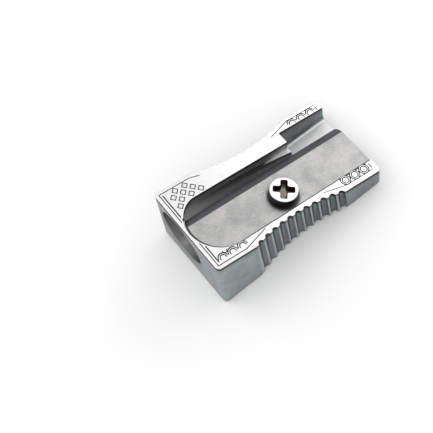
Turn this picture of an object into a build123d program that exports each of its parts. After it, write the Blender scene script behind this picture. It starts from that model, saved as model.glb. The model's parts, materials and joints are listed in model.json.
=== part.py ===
"""One-hole wedge pencil sharpener: cast body, ground blade, cross-recess blade screw.

The flat base lies on z = 0 and the origin is its middle. +X runs from the entry face to
the tip, +Y to the shavings window side, +Z up. Millimetres throughout.
"""
import os
from math import cos, radians, sin, sqrt, tan

from build123d import *

os.makedirs("parts", exist_ok=True)

# ---------------------------------------------------------------- sizes
# pencil hole
hole_radius = 4.0  # takes a pencil of up to 8 mm across
hole_lead_in = 1.8  # straight part before the cone begins
hole_mouth_chamfer = 0.25
cone_half_angle = 11.7  # half angle of the sharpened point, degrees
hole_offset = 2.0  # hole axis from the middle of the width, window side
hole_slope = 4.5  # hole axis runs down towards the tip, degrees against the base
hole_floor = 1.25  # metal under the hole at the entry face

# body
body_length = 25.0  # entry face to tip face, along the hole
body_width = 13.1
corner_radius = 0.55
base_edge_radius = 0.4
rim_edge_radius = 0.12

# finger grip on both sides
waist_depth = 0.95
waist_start = 5.85
waist_end = 19.4
groove_count = 11
groove_pitch = 1.215
groove_radius = 0.5
groove_depth = 0.45
groove_lean = 2.5  # groove feet lean towards the tip, degrees
groove_shift = 0.15  # middle groove past the middle of the waist
rim_groove_radius = 0.42  # the same grooves where they pass through the rim
rim_groove_depth = 0.33
rim_height = 0.35  # height of the rim band above the deep grooves

# blade
blade_length = 24.8
blade_width = 6.55
blade_thickness = 0.5
blade_end_radius = 4.35  # rounded end at the pencil side
blade_recess = 0.35  # blade face below the top of the rim
blade_turn = 0.8  # blade turned about its screw, degrees
blade_gap = 0.12  # between the blade's back edge and the wall of its seat
blade_end_gap = 0.32  # the same at the rounded end
blade_bite = 0.05  # how far the underside reaches into the cone
blade_tip_gap = 0.08  # blade end short of the tip face
bevel_width = 1.1
edge_land = 0.03  # thickness left at the cutting edge
edge_corner = 0.3  # small corner taken off the cutting edge at the tip

# blade screw
screw_along = 13.25  # from the entry edge, down the slope of the top
screw_to_back = 2.4  # screw axis to the back edge of the blade
head_radius = 1.82
head_height = 1.2
head_edge_radius = 0.14
recess_span = 2.8  # tip to tip of the cross
recess_arm_width = 0.92
recess_corner_radius = 0.24
recess_end_radius = 0.2
recess_depth = 0.85
recess_taper = 14.0  # degrees
recess_turn = 50.0  # degrees from the length of the blade
thread_radius = 1.25
thread_pitch = 0.45
thread_depth = 0.27
thread_root_width = 0.27
thread_crest_width = 0.06
thread_clearance = 0.06
thread_length = 4.6  # below the underside of the head
thread_hole_spare = 0.5  # hole deeper than the screw
thread_point = 0.3  # cone at the end of the screw
blade_hole_clearance = 0.15

# shavings window and the pocket at the tip
window_far_wall = 3.45  # from the middle of the width
window_arc_radius = 3.6
window_arc_along = 4.1
window_arc_across = -0.1
edge_overhang = 0.9  # cutting edge beyond the metal that carries the blade
pocket_start = 18.0
pocket_far_wall = 5.12
pocket_floor = 2.75  # below the hole axis
pocket_fillet = 0.5

# ornament engraved in the rim
line_width = 0.12
line_inset = 0.5
second_line_width = 0.16
second_line_inset = 0.85
engraving_depth = 0.1
square_side = 0.6  # middle of the engraved outline
square_pitch = 1.45
ring_radius = 0.42
ring_pitch = 1.47
ring_outside = 0.6  # metal left round a ring beside the blade

# ---------------------------------------------------------------- derived
half_width = body_width / 2
wedge_angle = cone_half_angle + hole_slope
cone_tan = tan(radians(cone_half_angle))
cone_cos = cos(radians(cone_half_angle))
seat_depth = blade_recess + blade_thickness
axis_below_rim = hole_radius + hole_lead_in * cone_tan + (seat_depth - blade_bite) / cone_cos
axis_above_base = hole_radius + hole_floor
entry_height = axis_above_base + axis_below_rim
cone_apex = hole_lead_in + hole_radius / cone_tan
rim_length = body_length / cone_cos
waist_middle = (waist_start + waist_end) / 2
waist_radius = (((waist_end - waist_start) / 2) ** 2 + waist_depth**2) / (2 * waist_depth)
cut_through = 20.0  # longer than the body in any direction that is cut


def leaning(angle):
    """Directions along and up, tipped down towards the tip by an angle."""
    run = (cos(radians(angle)), 0, -sin(radians(angle)))
    rise = (sin(radians(angle)), 0, cos(radians(angle)))
    return run, rise


along, up = leaning(hole_slope)
rim_along, rim_up = leaning(wedge_angle)
entry_foot = -body_length / cos(radians(hole_slope)) / 2
mouth = (entry_foot + axis_above_base * up[0], 0, axis_above_base * up[2])
entry_edge = (entry_foot + entry_height * up[0], 0, entry_height * up[2])

# plane of the hole axis: x along the hole, y across the body
hole_deck = Plane(origin=mouth, x_dir=along, z_dir=up)
# upright plane through the hole axis: x along the hole, y up the entry face
hole_section = Plane(origin=(mouth[0], hole_offset, mouth[2]), x_dir=along, z_dir=(0, -1, 0))
# top of the rim: x down the slope from the entry edge, y across the body
rim_top = Plane(origin=entry_edge, x_dir=rim_along, z_dir=rim_up)

# blade: x along it, y across it, zero on the screw axis in the blade's face
turn_tan = tan(radians(blade_turn))
edge_across = blade_width - screw_to_back
screw_across = hole_offset - edge_across - (rim_length - screw_along) * turn_tan
blade_x = tuple(cos(radians(blade_turn)) * d for d in rim_along)
blade_x = (blade_x[0], sin(radians(blade_turn)), blade_x[2])
screw_point = rim_top.from_local_coords((screw_along, screw_across, -blade_recess))
blade_face = Plane(origin=screw_point, x_dir=blade_x, z_dir=rim_up)
blade_end = rim_length - screw_along - blade_tip_gap
end_centre_x = blade_end - blade_length + blade_end_radius
end_centre_y = blade_end_radius - screw_to_back


def rounded_end_x(radius, across):
    """Where the rounded end, drawn with a radius, crosses a line along the blade."""
    return end_centre_x - sqrt(radius**2 - (across - end_centre_y) ** 2)


def window_near_wall(x):
    """Near wall of the window, parallel to the cutting edge, x along the hole."""
    return screw_across + edge_across - edge_overhang + (x / cone_cos - screw_along) * turn_tan


def window_arc(across):
    """Entry end of the window at a distance across the body."""
    return window_arc_along - sqrt(window_arc_radius**2 - (across - window_arc_across) ** 2)


def grip_centres(radius, depth):
    """Centres of the groove cutters on both sides of the body."""
    centres = []
    for side in (-1, 1):
        for number in range(groove_count):
            off = (number - (groove_count - 1) / 2) * groove_pitch
            rise = waist_radius - sqrt(waist_radius**2 - off**2)
            crest = half_width - waist_depth + rise
            centres.append((waist_middle + groove_shift + off, side * (crest + radius - depth)))
    return centres


def ornament_squares():
    """Middles of the small squares in the corner field, row by row."""
    column, row = line_inset + 1.28, window_far_wall + 0.6
    whole = [(column + square_pitch * (n + 0.5), row) for n in range(3)]
    whole += [(column + square_pitch * n, row + square_pitch / 2) for n in range(3)]
    whole += [(column + square_pitch * (n + 0.5), row + square_pitch) for n in range(2)]
    whole.append((column, row - square_pitch / 2))
    return whole


def thread_coil(grow, lower):
    """Ridge of the screw's thread, grown by a clearance, begun whole turns lower."""
    foot = -thread_length - thread_pitch * (1 + lower)
    root = thread_root_width / 2 + grow
    crest = thread_crest_width / 2 + grow
    core = thread_radius - thread_depth
    with BuildPart() as coil:
        with BuildLine() as path:
            Helix(thread_pitch, -foot + thread_pitch, core, center=(0, 0, foot))
        start = Plane(origin=path.line @ 0, x_dir=(1, 0, 0), z_dir=path.line % 0)
        with BuildSketch(start):
            with BuildLine():
                Polyline(
                    (-0.08, -root),
                    (0, -root),
                    (thread_depth + grow, -crest),
                    (thread_depth + grow, crest),
                    (0, root),
                    (-0.08, root),
                    close=True,
                )
            make_face()
        sweep(is_frenet=True)
    return coil.part


# ---------------------------------------------------------------- cutters
grip_along, grip_up = leaning(hole_slope - groove_lean)
grip_deck = Plane(origin=mouth, x_dir=grip_along, z_dir=grip_up)

with BuildPart() as grip_grooves:
    with BuildSketch(grip_deck):
        with Locations(*grip_centres(groove_radius, groove_depth)):
            Circle(groove_radius)
    extrude(amount=cut_through, both=True)
    split(bisect_by=rim_top.offset(-rim_height), keep=Keep.BOTTOM)
    with BuildSketch(grip_deck):
        with Locations(*grip_centres(rim_groove_radius, rim_groove_depth)):
            Circle(rim_groove_radius)
    extrude(amount=cut_through, both=True)

with BuildPart() as tip_pocket:
    with BuildSketch(hole_deck.offset(-pocket_floor)):
        with BuildLine():
            Polyline(
                (pocket_start, window_near_wall(pocket_start)),
                (body_length + 1, window_near_wall(body_length + 1)),
                (body_length + 1, pocket_far_wall),
                (pocket_start, pocket_far_wall),
                close=True,
            )
        make_face()
    extrude(amount=cut_through)
    foot_edges = edges().group_by(Axis(mouth, up))[0]
    fillet(foot_edges.sort_by(Axis.Y)[-1], pocket_fillet)

with BuildPart() as screw_hole:
    with BuildSketch(Plane.XY.offset(-thread_length - thread_hole_spare)):
        Circle(thread_radius - thread_depth + thread_clearance)
    extrude(amount=thread_length + thread_hole_spare)
    add(thread_coil(thread_clearance, 1))
    with BuildSketch(Plane.XY.offset(-thread_length - thread_hole_spare)):
        Circle(thread_radius * 2)
    extrude(amount=thread_length + thread_hole_spare, mode=Mode.INTERSECT)

# ---------------------------------------------------------------- sharpener body
with BuildPart() as sharpener_body:
    with BuildSketch(hole_deck):
        with BuildLine():
            Polyline((0, half_width), (0, -half_width), (waist_start, -half_width))
            ThreePointArc(
                (waist_start, -half_width),
                (waist_middle, -half_width + waist_depth),
                (waist_end, -half_width),
            )
            Polyline(
                (waist_end, -half_width),
                (body_length, -half_width),
                (body_length, half_width),
                (waist_end, half_width),
            )
            ThreePointArc(
                (waist_end, half_width),
                (waist_middle, half_width - waist_depth),
                (waist_start, half_width),
            )
            Line((waist_start, half_width), (0, half_width))
        make_face()
        corners = vertices().group_by(Axis.X)[0] + vertices().group_by(Axis.X)[-1]
        fillet(corners, corner_radius)
    extrude(amount=cut_through, both=True)
    split(bisect_by=rim_top, keep=Keep.BOTTOM)
    split(bisect_by=Plane.XY, keep=Keep.TOP)
    fillet(faces().sort_by(Axis.Z)[0].edges(), base_edge_radius)
    fillet(faces().sort_by(Axis(entry_edge, rim_up))[-1].edges(), rim_edge_radius)
    add(grip_grooves.part, mode=Mode.SUBTRACT)

    # pencil hole: mouth, straight lead-in, cone
    with BuildSketch(hole_section):
        with BuildLine():
            Polyline(
                (-1, 0),
                (-1, hole_radius + hole_mouth_chamfer),
                (0, hole_radius + hole_mouth_chamfer),
                (hole_mouth_chamfer, hole_radius),
                (hole_lead_in, hole_radius),
                (cone_apex, 0),
                close=True,
            )
        make_face()
    revolve(axis=Axis(hole_section.origin, along), mode=Mode.SUBTRACT)

    # seat for the blade, open at the tip
    seat_radius = blade_end_radius + blade_end_gap
    seat_back = -screw_to_back - blade_gap
    seat_front = edge_across + 0.1
    with BuildSketch(blade_face.offset(-blade_thickness)):
        with BuildLine():
            ThreePointArc(
                (end_centre_x, seat_back),
                (end_centre_x - seat_radius, end_centre_y),
                (rounded_end_x(seat_radius, seat_front), seat_front),
            )
            Polyline(
                (rounded_end_x(seat_radius, seat_front), seat_front),
                (blade_end + 2, seat_front),
                (blade_end + 2, seat_back),
                (end_centre_x, seat_back),
            )
        make_face()
    extrude(amount=seat_depth + 1, mode=Mode.SUBTRACT)

    # shavings window down to the hole axis, and the pocket it ends in
    near_start = (window_arc(window_near_wall(0.6)), window_near_wall(0.6))
    far_start = (window_arc(window_far_wall), window_far_wall)
    arc_middle = (window_arc(2.2), 2.2)
    with BuildSketch(hole_deck):
        with BuildLine():
            ThreePointArc(near_start, arc_middle, far_start)
            Polyline(
                far_start,
                (pocket_start + 0.5, window_far_wall),
                (pocket_start + 0.5, window_near_wall(pocket_start + 0.5)),
                near_start,
            )
        make_face()
    extrude(amount=cut_through, mode=Mode.SUBTRACT)
    add(tip_pocket.part, mode=Mode.SUBTRACT)

    # tapped hole for the blade screw
    add(screw_hole.part.moved(blade_face.location), mode=Mode.SUBTRACT)

    # engraved frame, squares and rings
    inner = half_width - line_inset
    first = line_inset
    second = second_line_inset
    tip_line = rim_length - second_line_inset + 0.1
    with BuildSketch(rim_top):
        with BuildLine() as thin_lines:
            Polyline((first, 1.3), (first, inner), (5.0, inner), (6.4, inner - 0.4))
            Polyline((first, -2.2), (first, -inner), (4.75, -inner), (8.3, -inner + 1.0))
            Polyline((17.3, -inner + 0.95), (20.5, -inner + 0.18), (tip_line, -inner + 0.18))
            Polyline((17.2, inner - 0.9), (20.4, inner), (tip_line, inner))
        trace(line_width=line_width)
    extrude(amount=-engraving_depth, mode=Mode.SUBTRACT)
    with BuildSketch(rim_top):
        with BuildLine() as wide_lines:
            Line((second, 1.95), (second, inner - 0.3))
            Line((second, -2.95), (second, -inner + 0.36))
            Line((tip_line, -inner + 0.4), (tip_line, -4.9))
            Line((tip_line, inner - 0.22), (tip_line, pocket_far_wall + 0.1))
        trace(line_width=second_line_width)
    extrude(amount=-engraving_depth, mode=Mode.SUBTRACT)
    with BuildSketch(rim_top):
        with Locations(*ornament_squares()):
            Rectangle(square_side + line_width, square_side + line_width, rotation=45)
            Rectangle(
                square_side - line_width,
                square_side - line_width,
                rotation=45,
                mode=Mode.SUBTRACT,
            )
    extrude(amount=-engraving_depth, mode=Mode.SUBTRACT)
    near_ring = (rim_length - 4.7, -inner + 0.83)
    far_ring = (rim_length - 4.7, inner - 0.68)
    arch = (line_inset + 1.17, -inner + 0.6)
    with BuildSketch(rim_top):
        with BuildLine() as curls:
            for number in range(3):
                place = (near_ring[0] + number * ring_pitch, near_ring[1])
                CenterArc(place, ring_radius, -60, 300)
                place = (far_ring[0] + number * ring_pitch, far_ring[1])
                CenterArc(place, ring_radius, -25, 230)
                place = (arch[0] + number * ring_pitch, arch[1])
                CenterArc(place, ring_radius, -20, 220)
            CenterArc((arch[0] + 0.7, arch[1] + 0.72), ring_radius * 0.7, 165, 210)
        trace(line_width=line_width)
    extrude(amount=-engraving_depth, mode=Mode.SUBTRACT)
    with BuildSketch(rim_top):
        with Locations((near_ring[0] + ring_pitch, near_ring[1] + 1)):
            Rectangle(ring_pitch * 3, 1.2)
        with Locations(*[(near_ring[0] + n * ring_pitch, near_ring[1]) for n in range(3)]):
            Circle(ring_outside, mode=Mode.SUBTRACT)
    extrude(amount=-engraving_depth, mode=Mode.SUBTRACT)

# ---------------------------------------------------------------- blade
with BuildPart() as blade:
    with BuildSketch(blade_face):
        with BuildLine():
            ThreePointArc(
                (end_centre_x, -screw_to_back),
                (end_centre_x - blade_end_radius, end_centre_y),
                (rounded_end_x(blade_end_radius, edge_across), edge_across),
            )
            Polyline(
                (rounded_end_x(blade_end_radius, edge_across), edge_across),
                (blade_end - edge_corner, edge_across),
                (blade_end, edge_across - edge_corner),
                (blade_end, -screw_to_back),
                (end_centre_x, -screw_to_back),
            )
        make_face()
        Circle(thread_radius + blade_hole_clearance, mode=Mode.SUBTRACT)
    extrude(amount=-blade_thickness)
    bevel_top = edge_across - bevel_width
    bevel_drop = (blade_thickness - edge_land) / bevel_width
    bevel_section = Plane(origin=screw_point, x_dir=blade_face.y_dir, z_dir=blade_face.x_dir)
    with BuildSketch(bevel_section):
        with BuildLine():
            Polyline(
                (bevel_top, 0),
                (edge_across + 1, -(bevel_width + 1) * bevel_drop),
                (edge_across + 1, 1),
                (bevel_top, 1),
                close=True,
            )
        make_face()
    extrude(amount=cut_through, both=True, mode=Mode.SUBTRACT)

# ---------------------------------------------------------------- blade screw
with BuildPart() as blade_screw:
    core_radius = thread_radius - thread_depth
    with BuildSketch(Plane.XY.offset(-thread_length)):
        Circle(core_radius)
    extrude(amount=thread_length + 0.2)
    add(thread_coil(0, 0))
    with BuildSketch(Plane.XZ):
        with BuildLine():
            Polyline(
                (0, 0.2),
                (thread_radius + 0.2, 0.2),
                (thread_radius + 0.2, -thread_length + thread_point),
                (thread_radius, -thread_length + thread_point),
                (thread_radius - thread_point, -thread_length),
                (0, -thread_length),
                close=True,
            )
        make_face()
    revolve(axis=Axis.Z, mode=Mode.INTERSECT)
    with BuildSketch():
        Circle(head_radius)
    extrude(amount=head_height)
    fillet(faces().sort_by(Axis.Z)[-1].edges(), head_edge_radius)
    with BuildSketch(Plane.XY.offset(head_height)):
        with Locations((0, 0)):
            Rectangle(recess_span, recess_arm_width, rotation=recess_turn)
            Rectangle(recess_arm_width, recess_span, rotation=recess_turn)
        inside = vertices().sort_by_distance((0, 0, head_height))[0:4]
        fillet(inside, recess_corner_radius)
        ends = vertices().sort_by_distance((0, 0, head_height))[-8:]
        fillet(ends, recess_end_radius)
    extrude(amount=-recess_depth, taper=recess_taper, mode=Mode.SUBTRACT)

# ---------------------------------------------------------------- export
sharpener_body.part.label = "sharpener_body"
export_step(sharpener_body.part, "parts/sharpener_body.step")

blade.part.label = "blade"
export_step(blade.part, "parts/blade.step")

seated_screw = blade_screw.part.moved(blade_face.location)
seated_screw.label = "blade_screw"
export_step(seated_screw, "parts/blade_screw.step")
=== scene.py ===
"""Looks of a one-hole wedge pencil sharpener: finishes, rim ornament, stage and camera.

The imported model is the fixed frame. Lengths in the classes are millimetres, and each
class turns them into metres when it builds.
"""

from __future__ import annotations

import json
import logging
import math
from dataclasses import dataclass, field
from enum import Enum

import bpy
from mathutils import Matrix, Vector

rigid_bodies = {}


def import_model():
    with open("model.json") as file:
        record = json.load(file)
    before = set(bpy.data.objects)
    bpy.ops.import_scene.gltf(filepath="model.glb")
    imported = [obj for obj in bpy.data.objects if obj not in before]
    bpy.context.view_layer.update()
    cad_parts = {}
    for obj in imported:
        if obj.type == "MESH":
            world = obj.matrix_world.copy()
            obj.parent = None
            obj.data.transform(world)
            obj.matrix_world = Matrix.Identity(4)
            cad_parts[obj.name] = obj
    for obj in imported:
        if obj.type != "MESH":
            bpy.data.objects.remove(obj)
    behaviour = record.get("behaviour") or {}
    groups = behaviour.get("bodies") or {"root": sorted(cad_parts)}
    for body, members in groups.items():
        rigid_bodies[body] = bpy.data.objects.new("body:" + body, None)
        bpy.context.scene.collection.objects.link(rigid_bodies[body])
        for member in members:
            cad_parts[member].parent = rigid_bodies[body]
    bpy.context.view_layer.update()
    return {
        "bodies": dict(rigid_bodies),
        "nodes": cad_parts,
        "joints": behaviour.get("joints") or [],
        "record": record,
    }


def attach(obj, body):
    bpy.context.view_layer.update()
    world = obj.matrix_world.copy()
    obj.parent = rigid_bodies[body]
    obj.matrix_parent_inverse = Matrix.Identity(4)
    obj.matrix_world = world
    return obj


MM = 0.001
CURL_COUNT = 3
CURL_PITCH = 1.47
CURL_RADIUS = 0.54
ENTRY_CURL_RADIUS = 0.53
log = logging.getLogger("sharpener")


class Body(Enum):
    """The moving bodies that a piece can ride on."""

    CAST = "body"
    BLADE = "blade"
    SCREW = "screw"


class CurlPlace(Enum):
    """The first curl of each row: from the entry edge, then from mid width."""

    NEAR_TIP = (20.83, -5.22)
    FAR_TIP = (20.83, 5.37)
    NEAR_ENTRY = (1.67, -5.45)


class Slot(Enum):
    """The record's material slots."""

    CAST = "cast_body"
    BLADE = "blade_steel"
    SCREW = "screw_steel"


# ---------------------------------------------------------------- places on the part


@dataclass(frozen=True)
class Deck:
    """A flat working plane on the part: x down the slope, y across, z out of the metal.

    Args:
        origin: The plane's zero point, in metres.
        along: Direction of x.
        up: Direction of z.
    """

    origin: Vector
    along: Vector
    up: Vector

    def at(self, along: float, across: float, height: float = 0.0) -> Vector:
        """Point on the plane, from millimetres to metres."""
        side = self.up.cross(self.along)
        return self.origin + (self.along * along + side * across + self.up * height) * MM

    def tilt(self) -> float:
        """Turn about Y that lays a flat shape on the plane, in radians."""
        return math.atan2(self.up.x, self.up.z)


@dataclass(frozen=True)
class PartPlaces:
    """Where the rim, the blade and the pencil hole are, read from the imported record.

    Args:
        record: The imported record.
        screw_along: Screw axis from the entry edge, down the slope.
        blade_recess: Blade face below the top of the rim.
        blade_turn: Blade turned about its screw, in degrees.
        mount_inset: The hole mount's point from the entry face.
    """

    record: dict
    screw_along: float = 13.25
    blade_recess: float = 0.35
    blade_turn: float = 0.8
    mount_inset: float = 1.0

    def screw(self) -> tuple[Vector, Vector]:
        """Returns: the screw's point on the blade's face, in metres, and its axis."""
        joint = next(j for j in self.record["behaviour"]["joints"] if j["name"] == "screw_turn")
        return Vector(joint["pos_m"]), Vector(joint["axis"]).normalized()

    def rim(self) -> Deck:
        """Returns: the top of the rim, x zero at the entry edge, y zero at mid width."""
        point, up = self.screw()
        along = Vector((up.z, 0.0, -up.x))
        origin = point + (up * self.blade_recess - along * self.screw_along) * MM
        return Deck(Vector((origin.x, 0.0, origin.z)), along, up)

    def blade(self) -> Deck:
        """Returns: the blade's face, zero on the screw axis, x along the blade."""
        point, up = self.screw()
        turn = Matrix.Rotation(math.radians(self.blade_turn), 3, up)
        return Deck(point, turn @ Vector((up.z, 0.0, -up.x)), up)

    def hole(self) -> tuple[Vector, Vector]:
        """Returns: the hole axis where it crosses the entry face, in metres, and its run."""
        mount = next(m for m in self.record["mounts"] if m["name"] == "pencil_hole")
        run = -Vector(mount["axis"]).normalized()
        return Vector(mount["pos_m"]) - run * self.mount_inset * MM, run


# ---------------------------------------------------------------- finishes


class Sheet:
    """A material's node sheet, with short calls for the nodes that the finishes share."""

    def __init__(self, name: str) -> None:
        """Makes an empty material.

        Args:
            name: The material's name.
        """
        self.material = bpy.data.materials.new(name)
        self.material.use_nodes = True
        self.tree = self.material.node_tree
        self.tree.nodes.clear()
        self.shader = self.tree.nodes.new("ShaderNodeBsdfPrincipled")
        output = self.tree.nodes.new("ShaderNodeOutputMaterial")
        self.tree.links.new(self.shader.outputs["BSDF"], output.inputs["Surface"])

    def feed(self, socket: bpy.types.NodeSocket, value: object) -> None:
        """Links a node's output to a socket, or sets the socket to a plain value.

        Args:
            socket: The socket that is fed.
            value: An output, a plain value, or None to leave the socket alone.
        """
        if isinstance(value, bpy.types.NodeSocket):
            self.tree.links.new(value, socket)
        elif value is not None:
            socket.default_value = value

    def place(self) -> bpy.types.NodeSocket:
        """Returns: the point on the part in millimetres."""
        coordinate = self.tree.nodes.new("ShaderNodeTexCoord")
        return self.scaled(coordinate.outputs["Object"], 1 / MM)

    def scaled(self, vector: object, scale: float) -> bpy.types.NodeSocket:
        """Makes a vector longer or shorter.

        Args:
            vector: The vector's socket.
            scale: How many times as long.

        Returns:
            The scaled vector's socket.
        """
        node = self.tree.nodes.new("ShaderNodeVectorMath")
        node.operation = "SCALE"
        self.feed(node.inputs[0], vector)
        node.inputs["Scale"].default_value = scale
        return node.outputs["Vector"]

    def vector(self, operation: str, first: object, second: object = None) -> bpy.types.Node:
        """Works out one sum on vectors.

        Args:
            operation: The sum's name.
            first: The first vector.
            second: The second vector, where the sum has one.

        Returns:
            The node, whose Vector or Value output the caller takes.
        """
        node = self.tree.nodes.new("ShaderNodeVectorMath")
        node.operation = operation
        self.feed(node.inputs[0], first)
        self.feed(node.inputs[1], second)
        return node

    def reach(self, point: object, direction: Vector, start: Vector) -> bpy.types.NodeSocket:
        """Distance of a point along a direction, from a start, all in millimetres.

        Args:
            point: The point's socket.
            direction: Unit direction.
            start: Where the distance is zero, in metres.

        Returns:
            The distance's socket.
        """
        run = self.vector("DOT_PRODUCT", point, tuple(direction)).outputs["Value"]
        return self.number("SUBTRACT", run, direction.dot(start) / MM)

    def radius(self, point: object, axis: Vector, through: Vector) -> bpy.types.NodeSocket:
        """Distance of a point from an axis, in millimetres.

        Args:
            point: The point's socket.
            axis: Unit direction of the axis.
            through: A point on the axis, in metres.

        Returns:
            The distance's socket.
        """
        off = self.vector("SUBTRACT", point, tuple(through / MM)).outputs["Vector"]
        spread = self.vector("LENGTH", off).outputs["Value"]
        along = self.number("POWER", self.reach(point, axis, through), 2.0)
        square = self.number("SUBTRACT", self.number("POWER", spread, 2.0), along)
        return self.number("SQRT", self.number("MAXIMUM", square, 0.0))

    def number(self, operation: str, first: object, second: object = None) -> bpy.types.NodeSocket:
        """Works out one sum on numbers.

        Args:
            operation: The sum's name.
            first: The first number.
            second: The second number, where the sum has one.

        Returns:
            The result's socket.
        """
        node = self.tree.nodes.new("ShaderNodeMath")
        node.operation = operation
        self.feed(node.inputs[0], first)
        self.feed(node.inputs[1], second)
        return node.outputs[0]

    def times(self, first: object, second: object) -> bpy.types.NodeSocket:
        """Returns: the product of two numbers."""
        return self.number("MULTIPLY", first, second)

    def ramp(
        self,
        value: object,
        low: float,
        high: float,
        start: float = 0.0,
        end: float = 1.0,
    ) -> bpy.types.NodeSocket:
        """Takes a number smoothly from one level to another.

        Args:
            value: The number that drives it.
            low: Where the first level ends.
            high: Where the second level begins.
            start: The first level.
            end: The second level.

        Returns:
            The level's socket.
        """
        node = self.tree.nodes.new("ShaderNodeMapRange")
        node.interpolation_type = "SMOOTHSTEP"
        for name, item in zip(("From Min", "From Max", "To Min", "To Max"), (low, high, start, end)):
            node.inputs[name].default_value = item
        self.feed(node.inputs["Value"], value)
        return node.outputs["Result"]

    def band(self, value: object, low: float, high: float, soft: float) -> bpy.types.NodeSocket:
        """Marks the values between two limits.

        Args:
            value: The number that is tested.
            low: Lower limit.
            high: Upper limit.
            soft: Width of the fall to 0 outside the limits.

        Returns:
            1 between the limits, 0 well outside them.
        """
        rise = self.ramp(value, low - soft, low)
        fall = self.ramp(value, high, high + soft, 1.0, 0.0)
        return self.times(rise, fall)

    def noise(self, point: object, scale: float, detail: float, roughness: float) -> bpy.types.NodeSocket:
        """Makes soft noise around 0.5.

        Args:
            point: The point's socket.
            scale: Cells for each millimetre.
            detail: How many finer layers are added.
            roughness: How strong the finer layers are.

        Returns:
            The noise's socket.
        """
        node = self.tree.nodes.new("ShaderNodeTexNoise")
        self.feed(node.inputs["Vector"], point)
        node.inputs["Scale"].default_value = scale
        node.inputs["Detail"].default_value = detail
        node.inputs["Roughness"].default_value = roughness
        return node.outputs["Fac"]

    def stripes(self, distance: object, scale: float, detail: float) -> bpy.types.NodeSocket:
        """Makes noise that changes along one distance only, for rings and turned marks.

        Args:
            distance: The distance's socket.
            scale: Cells for each millimetre.
            detail: How many finer layers are added.

        Returns:
            The noise's socket.
        """
        node = self.tree.nodes.new("ShaderNodeTexNoise")
        node.noise_dimensions = "1D"
        self.feed(node.inputs["W"], distance)
        node.inputs["Scale"].default_value = scale
        node.inputs["Detail"].default_value = detail
        return node.outputs["Fac"]

    def stretched(self, point: object, deck: Deck, along: float, across: float) -> bpy.types.NodeSocket:
        """The point laid out on a deck and squeezed, for lines that run one way.

        Args:
            point: The point's socket.
            deck: The plane that the lines lie on.
            along: Scale down the plane's x.
            across: Scale across it.

        Returns:
            The squeezed point's socket.
        """
        node = self.tree.nodes.new("ShaderNodeCombineXYZ")
        side = deck.up.cross(deck.along)
        x = self.reach(point, deck.along, deck.origin)
        y = self.reach(point, side, deck.origin)
        z = self.reach(point, deck.up, deck.origin)
        self.feed(node.inputs["X"], self.times(x, along))
        self.feed(node.inputs["Y"], self.times(y, across))
        self.feed(node.inputs["Z"], self.times(z, across))
        return node.outputs["Vector"]

    def mix(self, share: object, first: object, second: object) -> bpy.types.NodeSocket:
        """Mixes two colours.

        Args:
            share: Share of the second colour, 0 to 1.
            first: The first colour.
            second: The second colour.

        Returns:
            The mixed colour's socket.
        """
        node = self.tree.nodes.new("ShaderNodeMix")
        node.data_type = "RGBA"
        self.feed(node.inputs[0], share)
        self.feed(node.inputs[6], first)
        self.feed(node.inputs[7], second)
        return node.outputs[2]

    def blend(self, share: object, first: object, second: object) -> bpy.types.NodeSocket:
        """Mixes two numbers.

        Args:
            share: Share of the second number, 0 to 1.
            first: The first number.
            second: The second number.

        Returns:
            The mixed number's socket.
        """
        node = self.tree.nodes.new("ShaderNodeMix")
        node.data_type = "FLOAT"
        self.feed(node.inputs[0], share)
        self.feed(node.inputs[2], first)
        self.feed(node.inputs[3], second)
        return node.outputs[0]

    def facing(self, direction: Vector) -> bpy.types.NodeSocket:
        """Returns: how far the surface faces a direction, from -1 to 1."""
        geometry = self.tree.nodes.new("ShaderNodeNewGeometry")
        return self.vector("DOT_PRODUCT", geometry.outputs["Normal"], tuple(direction)).outputs["Value"]

    def bump(self, height: object, depth: float, strength: float = 1.0) -> None:
        """Raises the surface by a height.

        Args:
            height: The height's socket, about 0 to 1.
            depth: What a height of 1 stands for, in millimetres.
            strength: Share of the bump that shows.
        """
        node = self.tree.nodes.new("ShaderNodeBump")
        node.inputs["Strength"].default_value = strength
        node.inputs["Distance"].default_value = depth * MM
        self.feed(node.inputs["Height"], height)
        self.feed(self.shader.inputs["Normal"], node.outputs["Normal"])

    def dress(self, **values: object) -> None:
        """Sets the shader's sockets.

        Args:
            values: Value or output for each socket's name, an underscore standing for a space.
        """
        for name, value in values.items():
            self.feed(self.shader.inputs[name.replace("_", " ")], value)


Colour = tuple[float, float, float, float]


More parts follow.
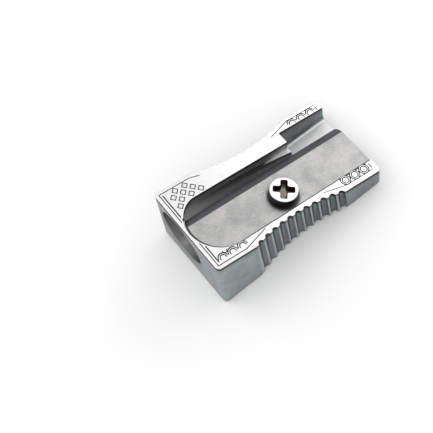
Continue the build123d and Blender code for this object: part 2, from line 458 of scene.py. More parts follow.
@dataclass(frozen=True)
class Grip:
    """The curved, grooved grip in the sides, as the finish needs it.

    Args:
        start: Where the grip begins, along the hole.
        end: Where it ends.
        depth: Depth of its curve.
        half_width: Half the width of the body.
        first_groove: Middle of the first groove, along the hole.
        pitch: Groove to groove.
        groove_shade: How dark a groove is all over.
        painted_streak_depth: How much darker the painted reflection streak in a groove is.
    """

    start: float = 5.85
    end: float = 19.4
    depth: float = 0.95
    half_width: float = 6.55
    first_groove: float = 6.7
    pitch: float = 1.215
    groove_shade: float = 0.4
    painted_streak_depth: float = 0.55

    def groove_depth(self, sheet: Sheet, point: object, places: PartPlaces) -> bpy.types.NodeSocket:
        """How far a point lies inside the curve that touches the ridges.

        Args:
            sheet: The material's nodes.
            point: The point's socket.
            places: Where the hole is.

        Returns:
            The depth in millimetres, 0 on a ridge, 0.4 in a groove and -1 off the grip.
        """
        mouth, run = places.hole()
        along = sheet.reach(point, run, mouth)
        half = (self.end - self.start) / 2
        bend = (half**2 + self.depth**2) / (2 * self.depth)
        off = sheet.number("SUBTRACT", along, self.start + half)
        square = sheet.number("SUBTRACT", bend**2, sheet.number("POWER", off, 2.0))
        rise = sheet.number("SUBTRACT", bend, sheet.number("SQRT", square))
        crest = sheet.number("ADD", sheet.number("MINIMUM", rise, self.depth), self.half_width - self.depth)
        across = sheet.number("ABSOLUTE", sheet.reach(point, Vector((0.0, 1.0, 0.0)), Vector()))
        inside = sheet.number("SUBTRACT", crest, across)
        on_grip = sheet.band(along, self.start, self.end, 0.1)
        outer = sheet.ramp(inside, 0.6, 0.7, 1.0, 0.0)
        shown = sheet.times(on_grip, outer)
        return sheet.blend(shown, -1.0, inside)

    def painted_groove_shade(self, sheet: Sheet, point: object, places: PartPlaces) -> bpy.types.NodeSocket:
        """Finds how dark the painted shade in a groove is, with a painted reflection streak against the
        ridge on its entry side.

        Args:
            sheet: The material's nodes.
            point: The point's socket.
            places: Where the hole is.

        Returns:
            The share of the groove's dark colour that shows.
        """
        mouth, run = places.hole()
        along = sheet.reach(point, run, mouth)
        turns = sheet.number("DIVIDE", sheet.number("SUBTRACT", along, self.first_groove), self.pitch)
        middle_at_half = sheet.number("ADD", turns, 10.5)
        part = sheet.number("FRACT", middle_at_half)
        # Painted reflection streak near the ridge on the groove's entry side, added to the painted shade of
        # the whole groove.
        painted_groove_shade = sheet.times(sheet.band(part, 0.26, 0.46, 0.08), self.painted_streak_depth)
        return sheet.number("ADD", painted_groove_shade, self.groove_shade)


@dataclass(frozen=True)
class CurlShadowRow:
    """Painted shadow that sits against a row of raised curls, outside and inside.

    Args:
        place: The first curl's place.
        radius: Middle of the curl's band.
        clear: Clean width on each side of that.
        width: Width of the painted shadow.
        open_side: No painted shadow further out than this from the curls' middles.
    """

    place: CurlPlace
    radius: float = CURL_RADIUS
    clear: float = 0.06
    width: float = 0.12
    open_side: float = -10.0

    def mask(self, sheet: Sheet, point: object, rim: Deck) -> bpy.types.NodeSocket:
        """Finds the painted shadow.

        Args:
            sheet: The material's nodes.
            point: The point's socket.
            rim: The plane of the rim.

        Returns:
            1 in the painted shadow, 0 elsewhere.
        """
        first_along, row_across = self.place.value
        run = sheet.number("SUBTRACT", sheet.reach(point, rim.along, rim.origin), first_along)
        nearest = sheet.number("ROUND", sheet.number("DIVIDE", run, CURL_PITCH))
        nearest = sheet.number("MINIMUM", sheet.number("MAXIMUM", nearest, 0.0), CURL_COUNT - 1.0)
        off = sheet.number("SUBTRACT", run, sheet.times(nearest, CURL_PITCH))
        across = sheet.reach(point, rim.up.cross(rim.along), rim.origin)
        side = sheet.number("SUBTRACT", across, row_across)
        square = sheet.number("ADD", sheet.number("POWER", off, 2.0), sheet.number("POWER", side, 2.0))
        miss = sheet.number("ABSOLUTE", sheet.number("SUBTRACT", sheet.number("SQRT", square), self.radius))
        kept = sheet.ramp(side, self.open_side - 0.05, self.open_side)
        return sheet.times(sheet.band(miss, self.clear, self.clear + self.width, 0.03), kept)


@dataclass(frozen=True)
class CastFinish:
    """Die-cast light metal: grey matt sides, polished rim, reamed cone, with painted shade in the
    engraving, round the curls, under the rim and in the grip grooves.

    Args:
        side: Cast side, its usual colour.
        side_pale: Cast side where it is rubbed.
        under_rim_shade: Painted shade on the side just under the rim and at the tops of the grip grooves.
        groove: Painted shade at the bottom of a grip groove; the sides also darken to it towards the tip.
        ridge: Ridge between two grooves, pale partly from wear and partly as a painted highlight; also the
            rim's rubbed patches.
        upward: Cast faces that look up and take the light.
        polished: Top of the rim.
        engraved: Painted shade on the floor of the engraved lines and round the curls.
        reamed: Wall of the pencil hole.
        cone_half_angle: Half angle of the cone in the hole.
        hole_radius: Radius of the hole.
        lead_in: Straight part of the hole.
        engraving_depth: Depth of the engraved lines.
        grip: The grip in the sides.
        curl_shadows: Painted shadow rings round the curls.
    """

    side: Colour = (0.28, 0.304, 0.31, 1.0)
    side_pale: Colour = (0.385, 0.412, 0.414, 1.0)
    under_rim_shade: Colour = (0.012, 0.013, 0.014, 1.0)
    groove: Colour = (0.05, 0.058, 0.064, 1.0)
    ridge: Colour = (0.52, 0.55, 0.55, 1.0)
    upward: Colour = (0.86, 0.86, 0.86, 1.0)
    polished: Colour = (0.87, 0.868, 0.862, 1.0)
    engraved: Colour = (0.012, 0.012, 0.013, 1.0)
    reamed: Colour = (0.40, 0.40, 0.40, 1.0)
    cone_half_angle: float = 11.7
    hole_radius: float = 4.0
    lead_in: float = 1.8
    engraving_depth: float = 0.1
    grip: Grip = field(default_factory=Grip)
    curl_shadows: tuple[CurlShadowRow, ...] = (
        CurlShadowRow(CurlPlace.NEAR_TIP),
        CurlShadowRow(CurlPlace.FAR_TIP, open_side=0.1),
        CurlShadowRow(CurlPlace.NEAR_ENTRY, ENTRY_CURL_RADIUS, open_side=0.0),
    )

    def material(self, places: PartPlaces) -> bpy.types.Material:
        """Builds the finish.

        Args:
            places: Where the rim and the hole are.

        Returns:
            The material.
        """
        sheet = Sheet("cast_metal")
        rim = places.rim()
        point = sheet.place()
        depth = sheet.times(sheet.reach(point, rim.up, rim.origin), -1.0)
        facing = sheet.facing(rim.up)
        skin = self.engraving_depth / 2
        near_top = sheet.ramp(depth, skin - 0.02, skin + 0.01, 1.0, 0.0)
        top = sheet.times(near_top, sheet.ramp(facing, 0.3, 0.7))
        # Painted shade on the floors of the engraved lines.
        cut = sheet.band(depth, self.engraving_depth - 0.015, self.engraving_depth + 0.015, 0.02)
        floor = sheet.times(cut, sheet.ramp(facing, 0.7, 0.9))
        hole = self.hole_wall(sheet, point, places)
        cloud = sheet.noise(point, 0.55, 4.0, 0.6)
        grain = sheet.noise(point, 9.0, 3.0, 0.6)

        towards_tip = sheet.ramp(sheet.reach(point, rim.along, rim.origin), 15.0, 24.0, 0.0, 0.32)
        colour = self.cast_colour(sheet, depth, facing, towards_tip, cloud, grain)
        inside = self.grip.groove_depth(sheet, point, places)
        painted_groove_shade = self.grip.painted_groove_shade(sheet, point, places)
        colour = self.grip_colour(sheet, colour, inside, painted_groove_shade, depth, facing)
        colour = sheet.mix(hole, colour, self.reamed)
        rubbed = sheet.ramp(cloud, 0.4, 0.7, 0.0, 0.3)
        rim_face = sheet.mix(rubbed, self.polished, self.ridge)
        # Painted shadow rings round the raised curls.
        for row in self.curl_shadows:
            rim_face = sheet.mix(row.mask(sheet, point, rim), rim_face, self.engraved)
        colour = sheet.mix(top, colour, rim_face)
        colour = sheet.mix(floor, colour, self.engraved)

        rough = sheet.ramp(grain, 0.3, 0.7, 0.42, 0.58)
        rough = sheet.blend(hole, rough, 0.34)
        rough = sheet.blend(top, rough, sheet.ramp(cloud, 0.3, 0.7, 0.14, 0.26))
        sheet.dress(Base_Color=colour, Roughness=rough, Metallic=1.0)
        matt = sheet.number("SUBTRACT", 1.0, top)
        relief = sheet.blend(hole, grain, self.reamer_lines(sheet, point, places))
        sheet.bump(sheet.times(relief, matt), 0.025, 0.7)
        return sheet.material

    def cast_colour(
        self,
        sheet: Sheet,
        depth: object,
        facing: object,
        towards_tip: object,
        cloud: object,
        grain: object,
    ) -> bpy.types.NodeSocket:
        """Colour of the cast faces away from the grip, with painted shade under the rim.

        Args:
            sheet: The material's nodes.
            depth: Depth under the rim.
            facing: How far the face looks up.
            towards_tip: Extra darkness towards the tip.
            cloud: Broad noise.
            grain: Fine noise.

        Returns:
            The colour's socket.
        """
        mottle = sheet.number("ADD", sheet.times(cloud, 0.55), sheet.times(grain, 0.45))
        side = sheet.mix(sheet.ramp(mottle, 0.36, 0.64), self.side, self.side_pale)
        steep = sheet.ramp(sheet.number("ABSOLUTE", facing), 0.45, 0.75, 1.0, 0.0)
        # Painted shade: a dark band on the steep sides just under the rim, fading further down the side.
        rim_shade_band = sheet.times(sheet.band(depth, 0.08, 0.42, 0.14), sheet.times(steep, 0.95))
        rim_shade_fade = sheet.times(sheet.ramp(depth, 0.2, 1.3, 0.3, 0.0), steep)
        side = sheet.mix(sheet.times(towards_tip, steep), side, self.groove)
        side = sheet.mix(sheet.number("MAXIMUM", rim_shade_band, rim_shade_fade), side, self.under_rim_shade)
        return sheet.mix(sheet.ramp(facing, 0.7, 0.95), side, self.upward)

    def grip_colour(
        self,
        sheet: Sheet,
        colour: object,
        inside: object,
        painted_groove_shade: object,
        depth: object,
        facing: object,
    ) -> bpy.types.NodeSocket:
        """Paints shade into the grip grooves and a shadow at their tops, and makes the ridges pale, partly
        as wear and partly as a painted highlight.

        Args:
            sheet: The material's nodes.
            colour: The colour so far.
            inside: Depth in a groove.
            painted_groove_shade: How dark the painted shade in the groove is there.
            depth: Depth under the rim.
            facing: How far the face looks up.

        Returns:
            The colour's socket.
        """
        upright = sheet.ramp(sheet.number("ABSOLUTE", facing), 0.45, 0.75, 1.0, 0.0)
        below = sheet.ramp(depth, 0.2, 0.32)
        shown = sheet.times(upright, below)
        # Pale crest of each ridge: partly wear and partly a painted highlight.
        ridge_wear_and_highlight = sheet.times(sheet.band(inside, -0.06, 0.09, 0.03), shown)
        # Painted shade and painted reflection streak inside each groove.
        groove_shade_share = sheet.times(sheet.ramp(inside, 0.08, 0.3), sheet.times(shown, painted_groove_shade))
        # Painted shadow at the top of each groove, under the rim's overhang.
        groove_top_shadow = sheet.times(sheet.ramp(inside, 0.06, 0.2), sheet.ramp(depth, 0.75, 1.1, 1.0, 0.0))
        groove_top_shadow = sheet.times(groove_top_shadow, upright)
        colour = sheet.mix(sheet.times(ridge_wear_and_highlight, 0.55), colour, self.ridge)
        colour = sheet.mix(groove_shade_share, colour, self.groove)
        return sheet.mix(groove_top_shadow, colour, self.under_rim_shade)

    def hole_wall(self, sheet: Sheet, point: object, places: PartPlaces) -> bpy.types.NodeSocket:
        """Finds the wall of the pencil hole.

        Args:
            sheet: The material's nodes.
            point: The point's socket.
            places: Where the hole is.

        Returns:
            1 on the wall of the hole and its cone, 0 elsewhere.
        """
        mouth, run = places.hole()
        radius = sheet.radius(point, run, mouth)
        along = sheet.reach(point, run, mouth)
        into = sheet.number("MAXIMUM", sheet.number("SUBTRACT", along, self.lead_in), 0.0)
        slope = math.tan(math.radians(self.cone_half_angle))
        wanted = sheet.number("SUBTRACT", self.hole_radius, sheet.times(into, slope))
        miss = sheet.number("ABSOLUTE", sheet.number("SUBTRACT", radius, wanted))
        return sheet.ramp(miss, 0.03, 0.06, 1.0, 0.0)

    def reamer_lines(self, sheet: Sheet, point: object, places: PartPlaces) -> bpy.types.NodeSocket:
        """Returns: fine rings that the reamer leaves round the hole."""
        mouth, run = places.hole()
        return sheet.stripes(sheet.reach(point, run, mouth), 9.0, 4.0)


@dataclass(frozen=True)
class BladeFinish:
    """Ground carbon steel: fine lines along the face, cross-ground darker bevel.

    Args:
        face: The ground face.
        face_dull: The face where it is handled.
        bevel: The bevel.
        edge_gap_shade: Painted shadow along the back edge and the rounded end, where the blade meets the
            gap to the rim.
        head_shadow: Painted shadow and reflection round the screw's head.
        edge_across: Cutting edge from the screw axis.
        bevel_width: Width of the bevel.
        back: Back edge from the screw axis.
        end_radius: Radius of the rounded end.
        end_centre: Its centre from the screw axis, along and across.
        head_radius: Radius of the screw's head.
    """

    face: Colour = (0.515, 0.508, 0.497, 1.0)
    face_dull: Colour = (0.33, 0.328, 0.328, 1.0)
    bevel: Colour = (0.15, 0.158, 0.17, 1.0)
    edge_gap_shade: Colour = (0.02, 0.02, 0.022, 1.0)
    head_shadow: Colour = (0.015, 0.016, 0.018, 1.0)
    edge_across: float = 4.15
    bevel_width: float = 1.1
    back: float = 2.4
    end_radius: float = 4.35
    end_centre: tuple[float, float] = (-8.25, 1.95)
    head_radius: float = 1.82

    def material(self, places: PartPlaces) -> bpy.types.Material:
        """Builds the finish.

        Args:
            places: Where the blade's face is.

        Returns:
            The material.
        """
        sheet = Sheet("ground_steel")
        deck = places.blade()
        point = sheet.place()
        across = sheet.reach(point, deck.up.cross(deck.along), deck.origin)
        start = self.edge_across - self.bevel_width
        bevel = sheet.ramp(across, start - 0.01, start + 0.01)
        lines = sheet.noise(sheet.stretched(point, deck, 0.9, 16.0), 1.0, 4.0, 0.65)
        cross = sheet.noise(sheet.stretched(point, deck, 14.0, 1.2), 1.0, 3.0, 0.6)
        cloud = sheet.noise(point, 0.35, 4.0, 0.55)
        speck = sheet.noise(point, 5.0, 3.0, 0.7)
        wear = sheet.number("ADD", sheet.times(cloud, 0.4), sheet.times(lines, 0.3))
        wear = sheet.number("ADD", wear, sheet.times(speck, 0.3))
        face = sheet.mix(sheet.ramp(wear, 0.38, 0.62), self.face, self.face_dull)
        edge = sheet.mix(sheet.ramp(cross, 0.3, 0.7, 0.0, 0.3), self.bevel, self.face_dull)
        colour = sheet.mix(bevel, face, edge)
        # Painted shadow along the back edge and the rounded end, where the blade meets the gap to the rim.
        colour = sheet.mix(self.edge_gap_shadow(sheet, point, deck, across), colour, self.edge_gap_shade)
        # Painted shadow and reflection of the head on the blade, round the screw.
        colour = sheet.mix(self.head_shadow_ring(sheet, point, deck), colour, self.head_shadow)
        rough = sheet.blend(bevel, sheet.ramp(lines, 0.3, 0.7, 0.3, 0.46), 0.28)
        sheet.dress(Base_Color=colour, Roughness=rough, Metallic=1.0)
        sheet.bump(sheet.blend(bevel, lines, cross), 0.012, 0.5)
        return sheet.material

    def edge_gap_shadow(self, sheet: Sheet, point: object, deck: Deck, across: object) -> bpy.types.NodeSocket:
        """Finds the strip of painted shadow along the blade's back edge and rounded end.

        Args:
            sheet: The material's nodes.
            point: The point's socket.
            deck: The blade's face.
            across: Distance across the blade from the screw axis.

        Returns:
            0.85 on the outermost strip of the back edge and the rounded end, 0 elsewhere.
        """
        centre = deck.at(*self.end_centre)
        radius = sheet.radius(point, deck.up, centre)
        past = sheet.ramp(sheet.reach(point, deck.along, centre), -0.3, 0.0, 1.0, 0.0)
        end = sheet.times(sheet.ramp(radius, self.end_radius - 0.14, self.end_radius - 0.06), past)
        back = sheet.ramp(across, 0.14 - self.back, 0.2 - self.back, 1.0, 0.0)
        return sheet.times(sheet.number("MAXIMUM", end, back), 0.85)

    def head_shadow_ring(self, sheet: Sheet, point: object, deck: Deck) -> bpy.types.NodeSocket:
        """Returns: 1 in the painted shadow and reflection round the head, thicker on one side, fading
        outwards.
        """
        radius = sheet.radius(point, deck.up, deck.at(-0.1, -0.2))
        return sheet.ramp(radius, self.head_radius + 0.05, self.head_radius + 0.5, 0.9, 0.0)


@dataclass(frozen=True)
class ScrewFinish:
    """Bright turned steel: pale top, with painted shade in the cross recess and on the side of the head,
    and painted highlights on the recess floor and round the foot of the head.

    Args:
        top: Face of the head.
        side: Side of the head, painted dark as shade.
        foot: Painted highlight line round the foot of the head, also mixed faintly into the top.
        thread: The thread.
        recess_shade: Painted shade inside the cross.
        recess_floor_highlight: Painted highlight at the bottom of the cross.
        head_radius: Radius of the head.
        head_height: Height of the head over the blade.
    """

    top: Colour = (0.93, 0.90, 0.87, 1.0)
    side: Colour = (0.02, 0.022, 0.025, 1.0)
    foot: Colour = (0.42, 0.41, 0.40, 1.0)
    thread: Colour = (0.42, 0.41, 0.40, 1.0)
    recess_shade: Colour = (0.10, 0.085, 0.08, 1.0)
    recess_floor_highlight: Colour = (0.22, 0.195, 0.18, 1.0)
    head_radius: float = 1.82
    head_height: float = 1.2

    def material(self, places: PartPlaces) -> bpy.types.Material:
        """Builds the finish.

        Args:
            places: Where the screw's axis is.

        Returns:
            The material.
        """
        sheet = Sheet("screw_steel")
        centre, axis = places.screw()
        point = sheet.place()
        height = sheet.reach(point, axis, centre)
        radius = sheet.radius(point, axis, centre)
        cloud = sheet.noise(point, 1.6, 4.0, 0.6)
        body = self.outside(sheet, height, cloud)
        within = sheet.ramp(radius, self.head_radius - 0.2, self.head_radius - 0.16, 1.0, 0.0)
        cross = sheet.times(within, sheet.ramp(height, 0.2, 0.3))
        low = sheet.ramp(height, self.head_height - 0.05, self.head_height - 0.015, 1.0, 0.0)
        # Painted shade inside the cross, with a painted highlight towards its floor.
        inside = sheet.mix(sheet.ramp(height, 0.36, 0.5, 0.7, 0.0), self.recess_shade, self.recess_floor_highlight)
        colour = sheet.mix(sheet.times(cross, low), body, inside)
        sheet.dress(Base_Color=colour, Roughness=sheet.ramp(cloud, 0.3, 0.7, 0.16, 0.3), Metallic=1.0)
        sheet.bump(sheet.stripes(radius, 14.0, 2.0), 0.006, 0.4)
        return sheet.material

    def outside(self, sheet: Sheet, height: object, cloud: object) -> bpy.types.NodeSocket:
        """Colour of the head and thread.

        Args:
            sheet: The material's nodes.
            height: Height over the blade.
            cloud: Broad noise.

        Returns:
            The colour's socket.
        """
        top = sheet.mix(sheet.ramp(cloud, 0.45, 0.75, 0.0, 0.2), self.top, self.foot)
        # Painted shade on the side of the head, with a painted highlight line round its foot.
        side = sheet.mix(sheet.band(height, 0.34, 0.4, 0.05), self.side, self.foot)
        side = sheet.mix(sheet.ramp(height, -0.03, 0.0), self.thread, side)
        return sheet.mix(sheet.ramp(height, self.head_height - 0.13, self.head_height - 0.05), side, top)


@dataclass(frozen=True)
class RaisedFinish:
    """Polished high spots of the rim ornament, rubbed bright.

    Args:
        bright: The rubbed metal.
        dull: Where it is rubbed less.
    """

    bright: Colour = (0.95, 0.95, 0.94, 1.0)
    dull: Colour = (0.72, 0.72, 0.72, 1.0)

    def material(self) -> bpy.types.Material:
        """Returns: the material."""
        sheet = Sheet("raised_metal")
        cloud = sheet.noise(sheet.place(), 2.4, 3.0, 0.5)
        sheet.dress(
            Base_Color=sheet.mix(sheet.ramp(cloud, 0.4, 0.75), self.bright, self.dull),
            Roughness=sheet.ramp(cloud, 0.3, 0.7, 0.16, 0.28),
            Metallic=1.0,
        )
        return sheet.material


# ---------------------------------------------------------------- rim ornament


class Recipe:
    """A Geometry Nodes tree under construction, with named inputs."""

    def __init__(self, name: str) -> None:
        """Makes a tree with one geometry input and one geometry output.

        Args:
            name: The tree's name.
        """
        self.tree = bpy.data.node_groups.new(name, "GeometryNodeTree")
        face = self.tree.interface
        face.new_socket("Places", in_out="INPUT", socket_type="NodeSocketGeometry")
        face.new_socket("Geometry", in_out="OUTPUT", socket_type="NodeSocketGeometry")
        self.start = self.tree.nodes.new("NodeGroupInput")
        self.end = self.tree.nodes.new("NodeGroupOutput")

    def size(self, name: str, value: float) -> bpy.types.NodeSocket:
        """Adds a named number input.

        Args:
            name: The input's name.
            value: Its value when nothing is set, in metres or radians.

        Returns:
            The input's socket.
        """
        socket = self.tree.interface.new_socket(name, in_out="INPUT", socket_type="NodeSocketFloat")
        socket.default_value = value
        return self.start.outputs[name]

    def finish(self, name: str) -> bpy.types.NodeSocket:
        """Adds a named material input and returns its socket."""
        self.tree.interface.new_socket(name, in_out="INPUT", socket_type="NodeSocketMaterial")
        return self.start.outputs[name]

    def node(self, kind: str, **inputs: object) -> bpy.types.Node:
        """Adds a node and feeds its inputs by name, an underscore standing for a space.

        Args:
            kind: The node's type.
            inputs: Values or sockets.

        Returns:
            The node.
        """
        made = self.tree.nodes.new(kind)
        for name, value in inputs.items():
            socket = made.inputs[name.replace("_", " ")]
            if isinstance(value, bpy.types.NodeSocket):
                self.tree.links.new(value, socket)
            else:
                socket.default_value = value
        return made

    def place_copies(self, shape: bpy.types.NodeSocket, tilt: float, finish: bpy.types.NodeSocket) -> None:
        """Puts the shape on every place, turned to the rim, and ends the tree.

        Args:
            shape: The shape's geometry socket.
            tilt: Turn about Y, in radians.
            finish: The material's socket.
        """
        points = self.start.outputs["Places"]
        turn = (0.0, tilt, 0.0)
        copies = self.node("GeometryNodeInstanceOnPoints", Points=points, Instance=shape, Rotation=turn)
        real = self.node("GeometryNodeRealizeInstances", Geometry=copies.outputs["Instances"])
        dressed = self.node("GeometryNodeSetMaterial", Geometry=real.outputs["Geometry"], Material=finish)
        self.tree.links.new(dressed.outputs["Geometry"], self.end.inputs["Geometry"])


def grown(name: str, places: list[Vector], recipe: Recipe, settings: dict[str, object]) -> bpy.types.Object:
    """Runs a recipe on a set of places and keeps the result as a plain mesh.

    Args:
        name: The piece's name.
        places: Points in metres.
        recipe: The tree.
        settings: Input name to value.

    Returns:
        The finished piece, at the origin.
    """
    seed = bpy.data.meshes.new(name + "_places")
    seed.from_pydata([tuple(p) for p in places], [], [])
    piece = bpy.data.objects.new(name, seed)
    bpy.context.scene.collection.objects.link(piece)
    modifier = piece.modifiers.new("recipe", "NODES")
    modifier.node_group = recipe.tree
    for item in recipe.tree.interface.items_tree:
        if item.in_out == "INPUT" and item.name in settings:
            modifier[item.identifier] = settings[item.name]
    graph = bpy.context.evaluated_depsgraph_get()
    mesh = bpy.data.meshes.new_from_object(piece.evaluated_get(graph), depsgraph=graph)
    piece.modifiers.remove(modifier)
    mesh.name = name
    piece.data = mesh
    bpy.data.meshes.remove(seed)
    return piece


@dataclass
class CornerSquares:
    """Small raised pads inside the engraved squares of the corner field.

    Args:
        side: Foot of a pad.
        top_side: Top of a pad.
        height: Pad over the rim.
        sink: Pad foot under the rim.
        pitch: Squares along a row.
        first_along: First column from the entry edge.
        first_across: First row from mid width.
    """

    side: float = 0.40
    top_side: float = 0.22
    height: float = 0.05
    sink: float = 0.03
    pitch: float = 1.45
    first_along: float = 1.78
    first_across: float = 4.05

    def places(self, rim: Deck) -> list[Vector]:
        """Lays out the corner field: two rows of three, a row of two and a single square.

        Args:
            rim: The plane of the rim.

        Returns:
            The middles of the squares, in metres.
        """
        half = self.pitch / 2
        rows = ((1, 0, 3), (0, 1, 3), (1, 2, 2), (0, -1, 1))
        spots = [
            (self.first_along + self.pitch * n + half * shift, self.first_across + half * row)
            for shift, row, count in rows
            for n in range(count)
        ]
        return [rim.at(x, y, (self.height - self.sink) / 2) for x, y in spots]

    def recipe(self, rim: Deck) -> Recipe:
        """Makes the tree of a four-sided pad on every place.

        Args:
            rim: The plane of the rim.

        Returns:
            The tree.
        """
        made = Recipe("corner_squares")
        pad = made.node(
            "GeometryNodeMeshCone",
            Vertices=4,
            Radius_Top=made.size("Top Radius", 0.0001),
            Radius_Bottom=made.size("Foot Radius", 0.0002),
            Depth=made.size("Depth", 0.0001),
        )
        lowered = made.node(
            "GeometryNodeTransform",
            Geometry=pad.outputs["Mesh"],
            Translation=(0.0, 0.0, -(self.height + self.sink) / 2 * MM),
        )
        made.place_copies(lowered.outputs["Geometry"], rim.tilt(), made.finish("Finish"))
        return made

    def build(self, rim: Deck, finish: bpy.types.Material) -> bpy.types.Object:
        """Makes the pads as one piece riding on the cast body.

        Args:
            rim: The plane of the rim.
            finish: The pads' material.

        Returns:
            The piece.
        """
        corner = math.sqrt(0.5) * MM
        settings = {
            "Top Radius": self.top_side * corner,
            "Foot Radius": self.side * corner,
            "Depth": (self.height + self.sink) * MM,
            "Finish": finish,
        }
        piece = grown("corner_square_pads", self.places(rim), self.recipe(rim), settings)
        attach(piece, Body.CAST.value)
        return piece


@dataclass
class CurlRow:
    """A row of raised curls beside the blade.

    Args:
        name: The piece's name.
        place: The first curl's place.
        start: Where a curl's arc begins, in degrees.
        sweep: How far it turns, in degrees.
        radius: Middle of the curl's band.
        band: Radius of the band's round section.
        sink: The section's middle under the rim.
    """

    name: str
    place: CurlPlace
    start: float
    sweep: float
    radius: float = CURL_RADIUS
    band: float = 0.06
    sink: float = 0.02

    def recipe(self, rim: Deck) -> Recipe:
        """Makes the tree of a round-section arc on every place.

        Args:
            rim: The plane of the rim.

        Returns:
            The tree.
        """
        made = Recipe(self.name)
        arc = made.node(
            "GeometryNodeCurveArc",
            Resolution=25,
            Radius=made.size("Radius", 0.0005),
            Start_Angle=made.size("Start", 0.0),
            Sweep_Angle=made.size("Sweep", 3.0),
        )
        thickness = made.size("Band", 0.0001)
        section = made.node("GeometryNodeCurvePrimitiveCircle", Resolution=10, Radius=thickness)
        band = made.node(
            "GeometryNodeCurveToMesh",
            Curve=arc.outputs["Curve"],
            Profile_Curve=section.outputs["Curve"],
            Fill_Caps=True,
        )
        made.place_copies(band.outputs["Mesh"], rim.tilt(), made.finish("Finish"))
        return made

    def build(self, rim: Deck, finish: bpy.types.Material) -> bpy.types.Object:
        """Makes the row as one piece riding on the cast body.

        Args:
            rim: The plane of the rim.
            finish: The curls' material.

        Returns:
            The piece.
        """
        along, across = self.place.value
        spots = [rim.at(along + n * CURL_PITCH, across, -self.sink) for n in range(CURL_COUNT)]
        settings = {
            "Radius": self.radius * MM,
            "Start": math.radians(self.start),
            "Sweep": math.radians(self.sweep),
            "Band": self.band * MM,
            "Finish": finish,
        }
        piece = grown(self.name, spots, self.recipe(rim), settings)
        piece.data.shade_smooth()
        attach(piece, Body.CAST.value)
        return piece


@dataclass
class RimOrnament:
    """All that stands on the rim: corner pads and the curls at both ends."""

    squares: CornerSquares = field(default_factory=CornerSquares)
    curls: tuple[CurlRow, ...] = (
        CurlRow("near_tip_curls", CurlPlace.NEAR_TIP, -60.0, 300.0),
        CurlRow("far_tip_curls", CurlPlace.FAR_TIP, 25.0, 130.0),
        CurlRow("near_entry_curls", CurlPlace.NEAR_ENTRY, 0.0, 180.0, ENTRY_CURL_RADIUS),
    )

    def build(self, rim: Deck) -> list[bpy.types.Object]:
        """Returns: the ornament's pieces, dressed."""
        finish = RaisedFinish().material()
        return [self.squares.build(rim, finish), *[row.build(rim, finish) for row in self.curls]]


# ---------------------------------------------------------------- carried-over pieces


@dataclass
class CastBody:
    """The cast wedge with its hole, window, grip and engraved rim."""

    node: str = "sharpener_body"
    finish: CastFinish = field(default_factory=CastFinish)

    def dress(self, frame: dict, places: PartPlaces) -> bpy.types.Object:
        """Returns: the cast body in its finish."""
        return dress(frame["nodes"][self.node], self.finish.material(places))


@dataclass
class Blade:
    """The ground blade."""

    node: str = "blade"
    finish: BladeFinish = field(default_factory=BladeFinish)

    def dress(self, frame: dict, places: PartPlaces) -> bpy.types.Object:
        """Returns: the blade in its finish."""
        return dress(frame["nodes"][self.node], self.finish.material(places))


@dataclass
class BladeScrew:
    """The screw that holds the blade."""

    node: str = "blade_screw"
    finish: ScrewFinish = field(default_factory=ScrewFinish)

    def dress(self, frame: dict, places: PartPlaces) -> bpy.types.Object:
        """Returns: the screw in its finish."""
        return dress(frame["nodes"][self.node], self.finish.material(places))


def dress(node: bpy.types.Object, material: bpy.types.Material) -> bpy.types.Object:
    """Puts a finish on a carried-over node.

    Args:
        node: The node's object.
        material: Its finish.

    Returns:
        The node's object.
    """
    node.data.materials.clear()
    node.data.materials.append(material)
    return node


# ---------------------------------------------------------------- stage


@dataclass
class Lamp:
    """A soft square light that looks at the part.

    Args:
        name: The light's name.
        towards: Direction from the part to the light.
        distance: How far off it stands, in metres.
        size: Side of the square, in metres.
        power: Its power in watts.
    """

    name: str
    towards: tuple[float, float, float]
    distance: float
    size: float
    power: float

    def build(self) -> bpy.types.Object:
        """Returns: the light."""
        data = bpy.data.lights.new(self.name, "AREA")
        data.size = self.size
        data.energy = self.power
        lamp = bpy.data.objects.new(self.name, data)
        direction = Vector(self.towards).normalized()
        lamp.location = direction * self.distance
        lamp.rotation_mode = "QUATERNION"
        lamp.rotation_quaternion = direction.to_track_quat("Z", "Y")
        bpy.context.scene.collection.objects.link(lamp)
        return lamp


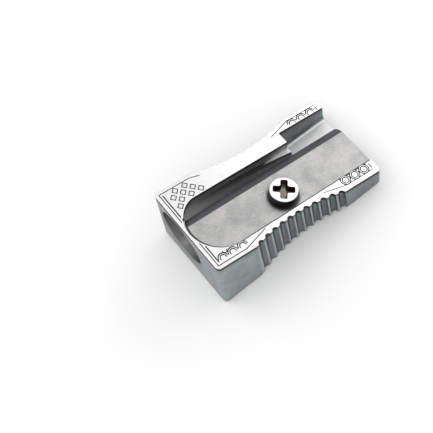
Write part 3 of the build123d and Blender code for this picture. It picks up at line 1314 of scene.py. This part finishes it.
@dataclass
class Studio:
    """Pale floor, soft lights and a pale surround that darkens towards the horizon.

    Args:
        floor_side: Side of the floor, in metres.
        floor_colour: The floor's colour.
        overhead: Light of the surround overhead.
        horizon: Light of the surround at the horizon.
        horizon_top: Height where the surround is at its brightest, as a share of straight up.
        lamps: The lights.
    """

    floor_side: float = 3.0
    floor_colour: Colour = (0.92, 0.92, 0.92, 1.0)
    overhead: float = 1.0
    horizon: float = 0.3
    horizon_top: float = 0.55
    lamps: tuple[Lamp, ...] = (
        Lamp("key", (0.95, 0.1, 0.42), 0.6, 0.5, 0.8),
        Lamp("fill", (-0.5, 0.6, 0.9), 0.7, 0.6, 1.0),
    )

    def build(self) -> None:
        """Makes the floor, the lights and the surround."""
        half = self.floor_side / 2
        mesh = bpy.data.meshes.new("floor")
        outline = [(-half, -half, 0.0), (half, -half, 0.0), (half, half, 0.0), (-half, half, 0.0)]
        mesh.from_pydata(outline, [], [(0, 1, 2, 3)])
        floor = bpy.data.objects.new("floor", mesh)
        bpy.context.scene.collection.objects.link(floor)
        sheet = Sheet("floor_paper")
        sheet.dress(Base_Color=self.floor_colour, Roughness=0.9, Specular_IOR_Level=0.1)
        mesh.materials.append(sheet.material)
        self.surround()
        for lamp in self.lamps:
            lamp.build()
        bpy.context.scene.view_settings.view_transform = "Standard"

    def surround(self) -> None:
        """Makes the world's light."""
        world = bpy.data.worlds.new("surround")
        world.use_nodes = True
        tree = world.node_tree
        place = tree.nodes.new("ShaderNodeTexCoord")
        split = tree.nodes.new("ShaderNodeSeparateXYZ")
        rise = tree.nodes.new("ShaderNodeMapRange")
        rise.interpolation_type = "SMOOTHSTEP"
        rise.inputs["From Max"].default_value = self.horizon_top
        rise.inputs["To Min"].default_value = self.horizon
        rise.inputs["To Max"].default_value = self.overhead
        back = tree.nodes["Background"]
        back.inputs["Color"].default_value = (1.0, 1.0, 1.0, 1.0)
        tree.links.new(place.outputs["Generated"], split.inputs["Vector"])
        tree.links.new(split.outputs["Z"], rise.inputs["Value"])
        tree.links.new(rise.outputs["Result"], back.inputs["Strength"])
        bpy.context.scene.world = world


@dataclass
class Camera:
    """The camera, aimed at a point on the part.

    Args:
        target: The point in the middle of the view.
        distance: From the target to the lens.
        azimuth: Round the part, 0 looking along +Y, in degrees.
        elevation: Above the floor, in degrees.
        roll: Turn of the picture, in degrees.
        lens: Focal length on a 36 mm sensor.
    """

    target: tuple[float, float, float] = (-6.9079, 1.4631, 5.0)
    distance: float = 177.224
    azimuth: float = -16.1735
    elevation: float = 65.4719
    roll: float = -23.2261
    lens: float = 118.77

    def build(self) -> bpy.types.Object:
        """Returns: the camera, set as the scene's."""
        turn, rise, roll = (math.radians(a) for a in (self.azimuth, self.elevation, self.roll))
        back = Vector((math.sin(turn) * math.cos(rise), -math.cos(turn) * math.cos(rise), math.sin(rise)))
        level = Vector((0.0, 0.0, 1.0)).cross(back).normalized()
        upright = back.cross(level)
        right = level * math.cos(roll) + upright * math.sin(roll)
        up = back.cross(right)
        data = bpy.data.cameras.new("camera")
        data.sensor_width = 36.0
        data.lens = self.lens
        data.clip_start = 0.01
        data.clip_end = 20.0
        camera = bpy.data.objects.new("camera", data)
        camera.rotation_mode = "QUATERNION"
        camera.rotation_quaternion = Matrix((right, up, back)).transposed().to_quaternion()
        camera.location = (Vector(self.target) + back * self.distance) * MM
        bpy.context.scene.collection.objects.link(camera)
        bpy.context.scene.camera = camera
        return camera


def main() -> None:
    """Builds the sharpener's looks in order and reports each piece."""
    logging.basicConfig(level=logging.INFO, format="%(name)s: %(message)s")
    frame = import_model()
    places = PartPlaces(frame["record"])
    for part in (CastBody(), Blade(), BladeScrew()):
        piece = part.dress(frame, places)
        log.info("dressed %s in %s", piece.name, piece.data.materials[0].name)
    for piece in RimOrnament().build(places.rim()):
        log.info("made %s with %d faces", piece.name, len(piece.data.polygons))
    Studio().build()
    Camera().build()


if __name__ == "__main__":
    main()
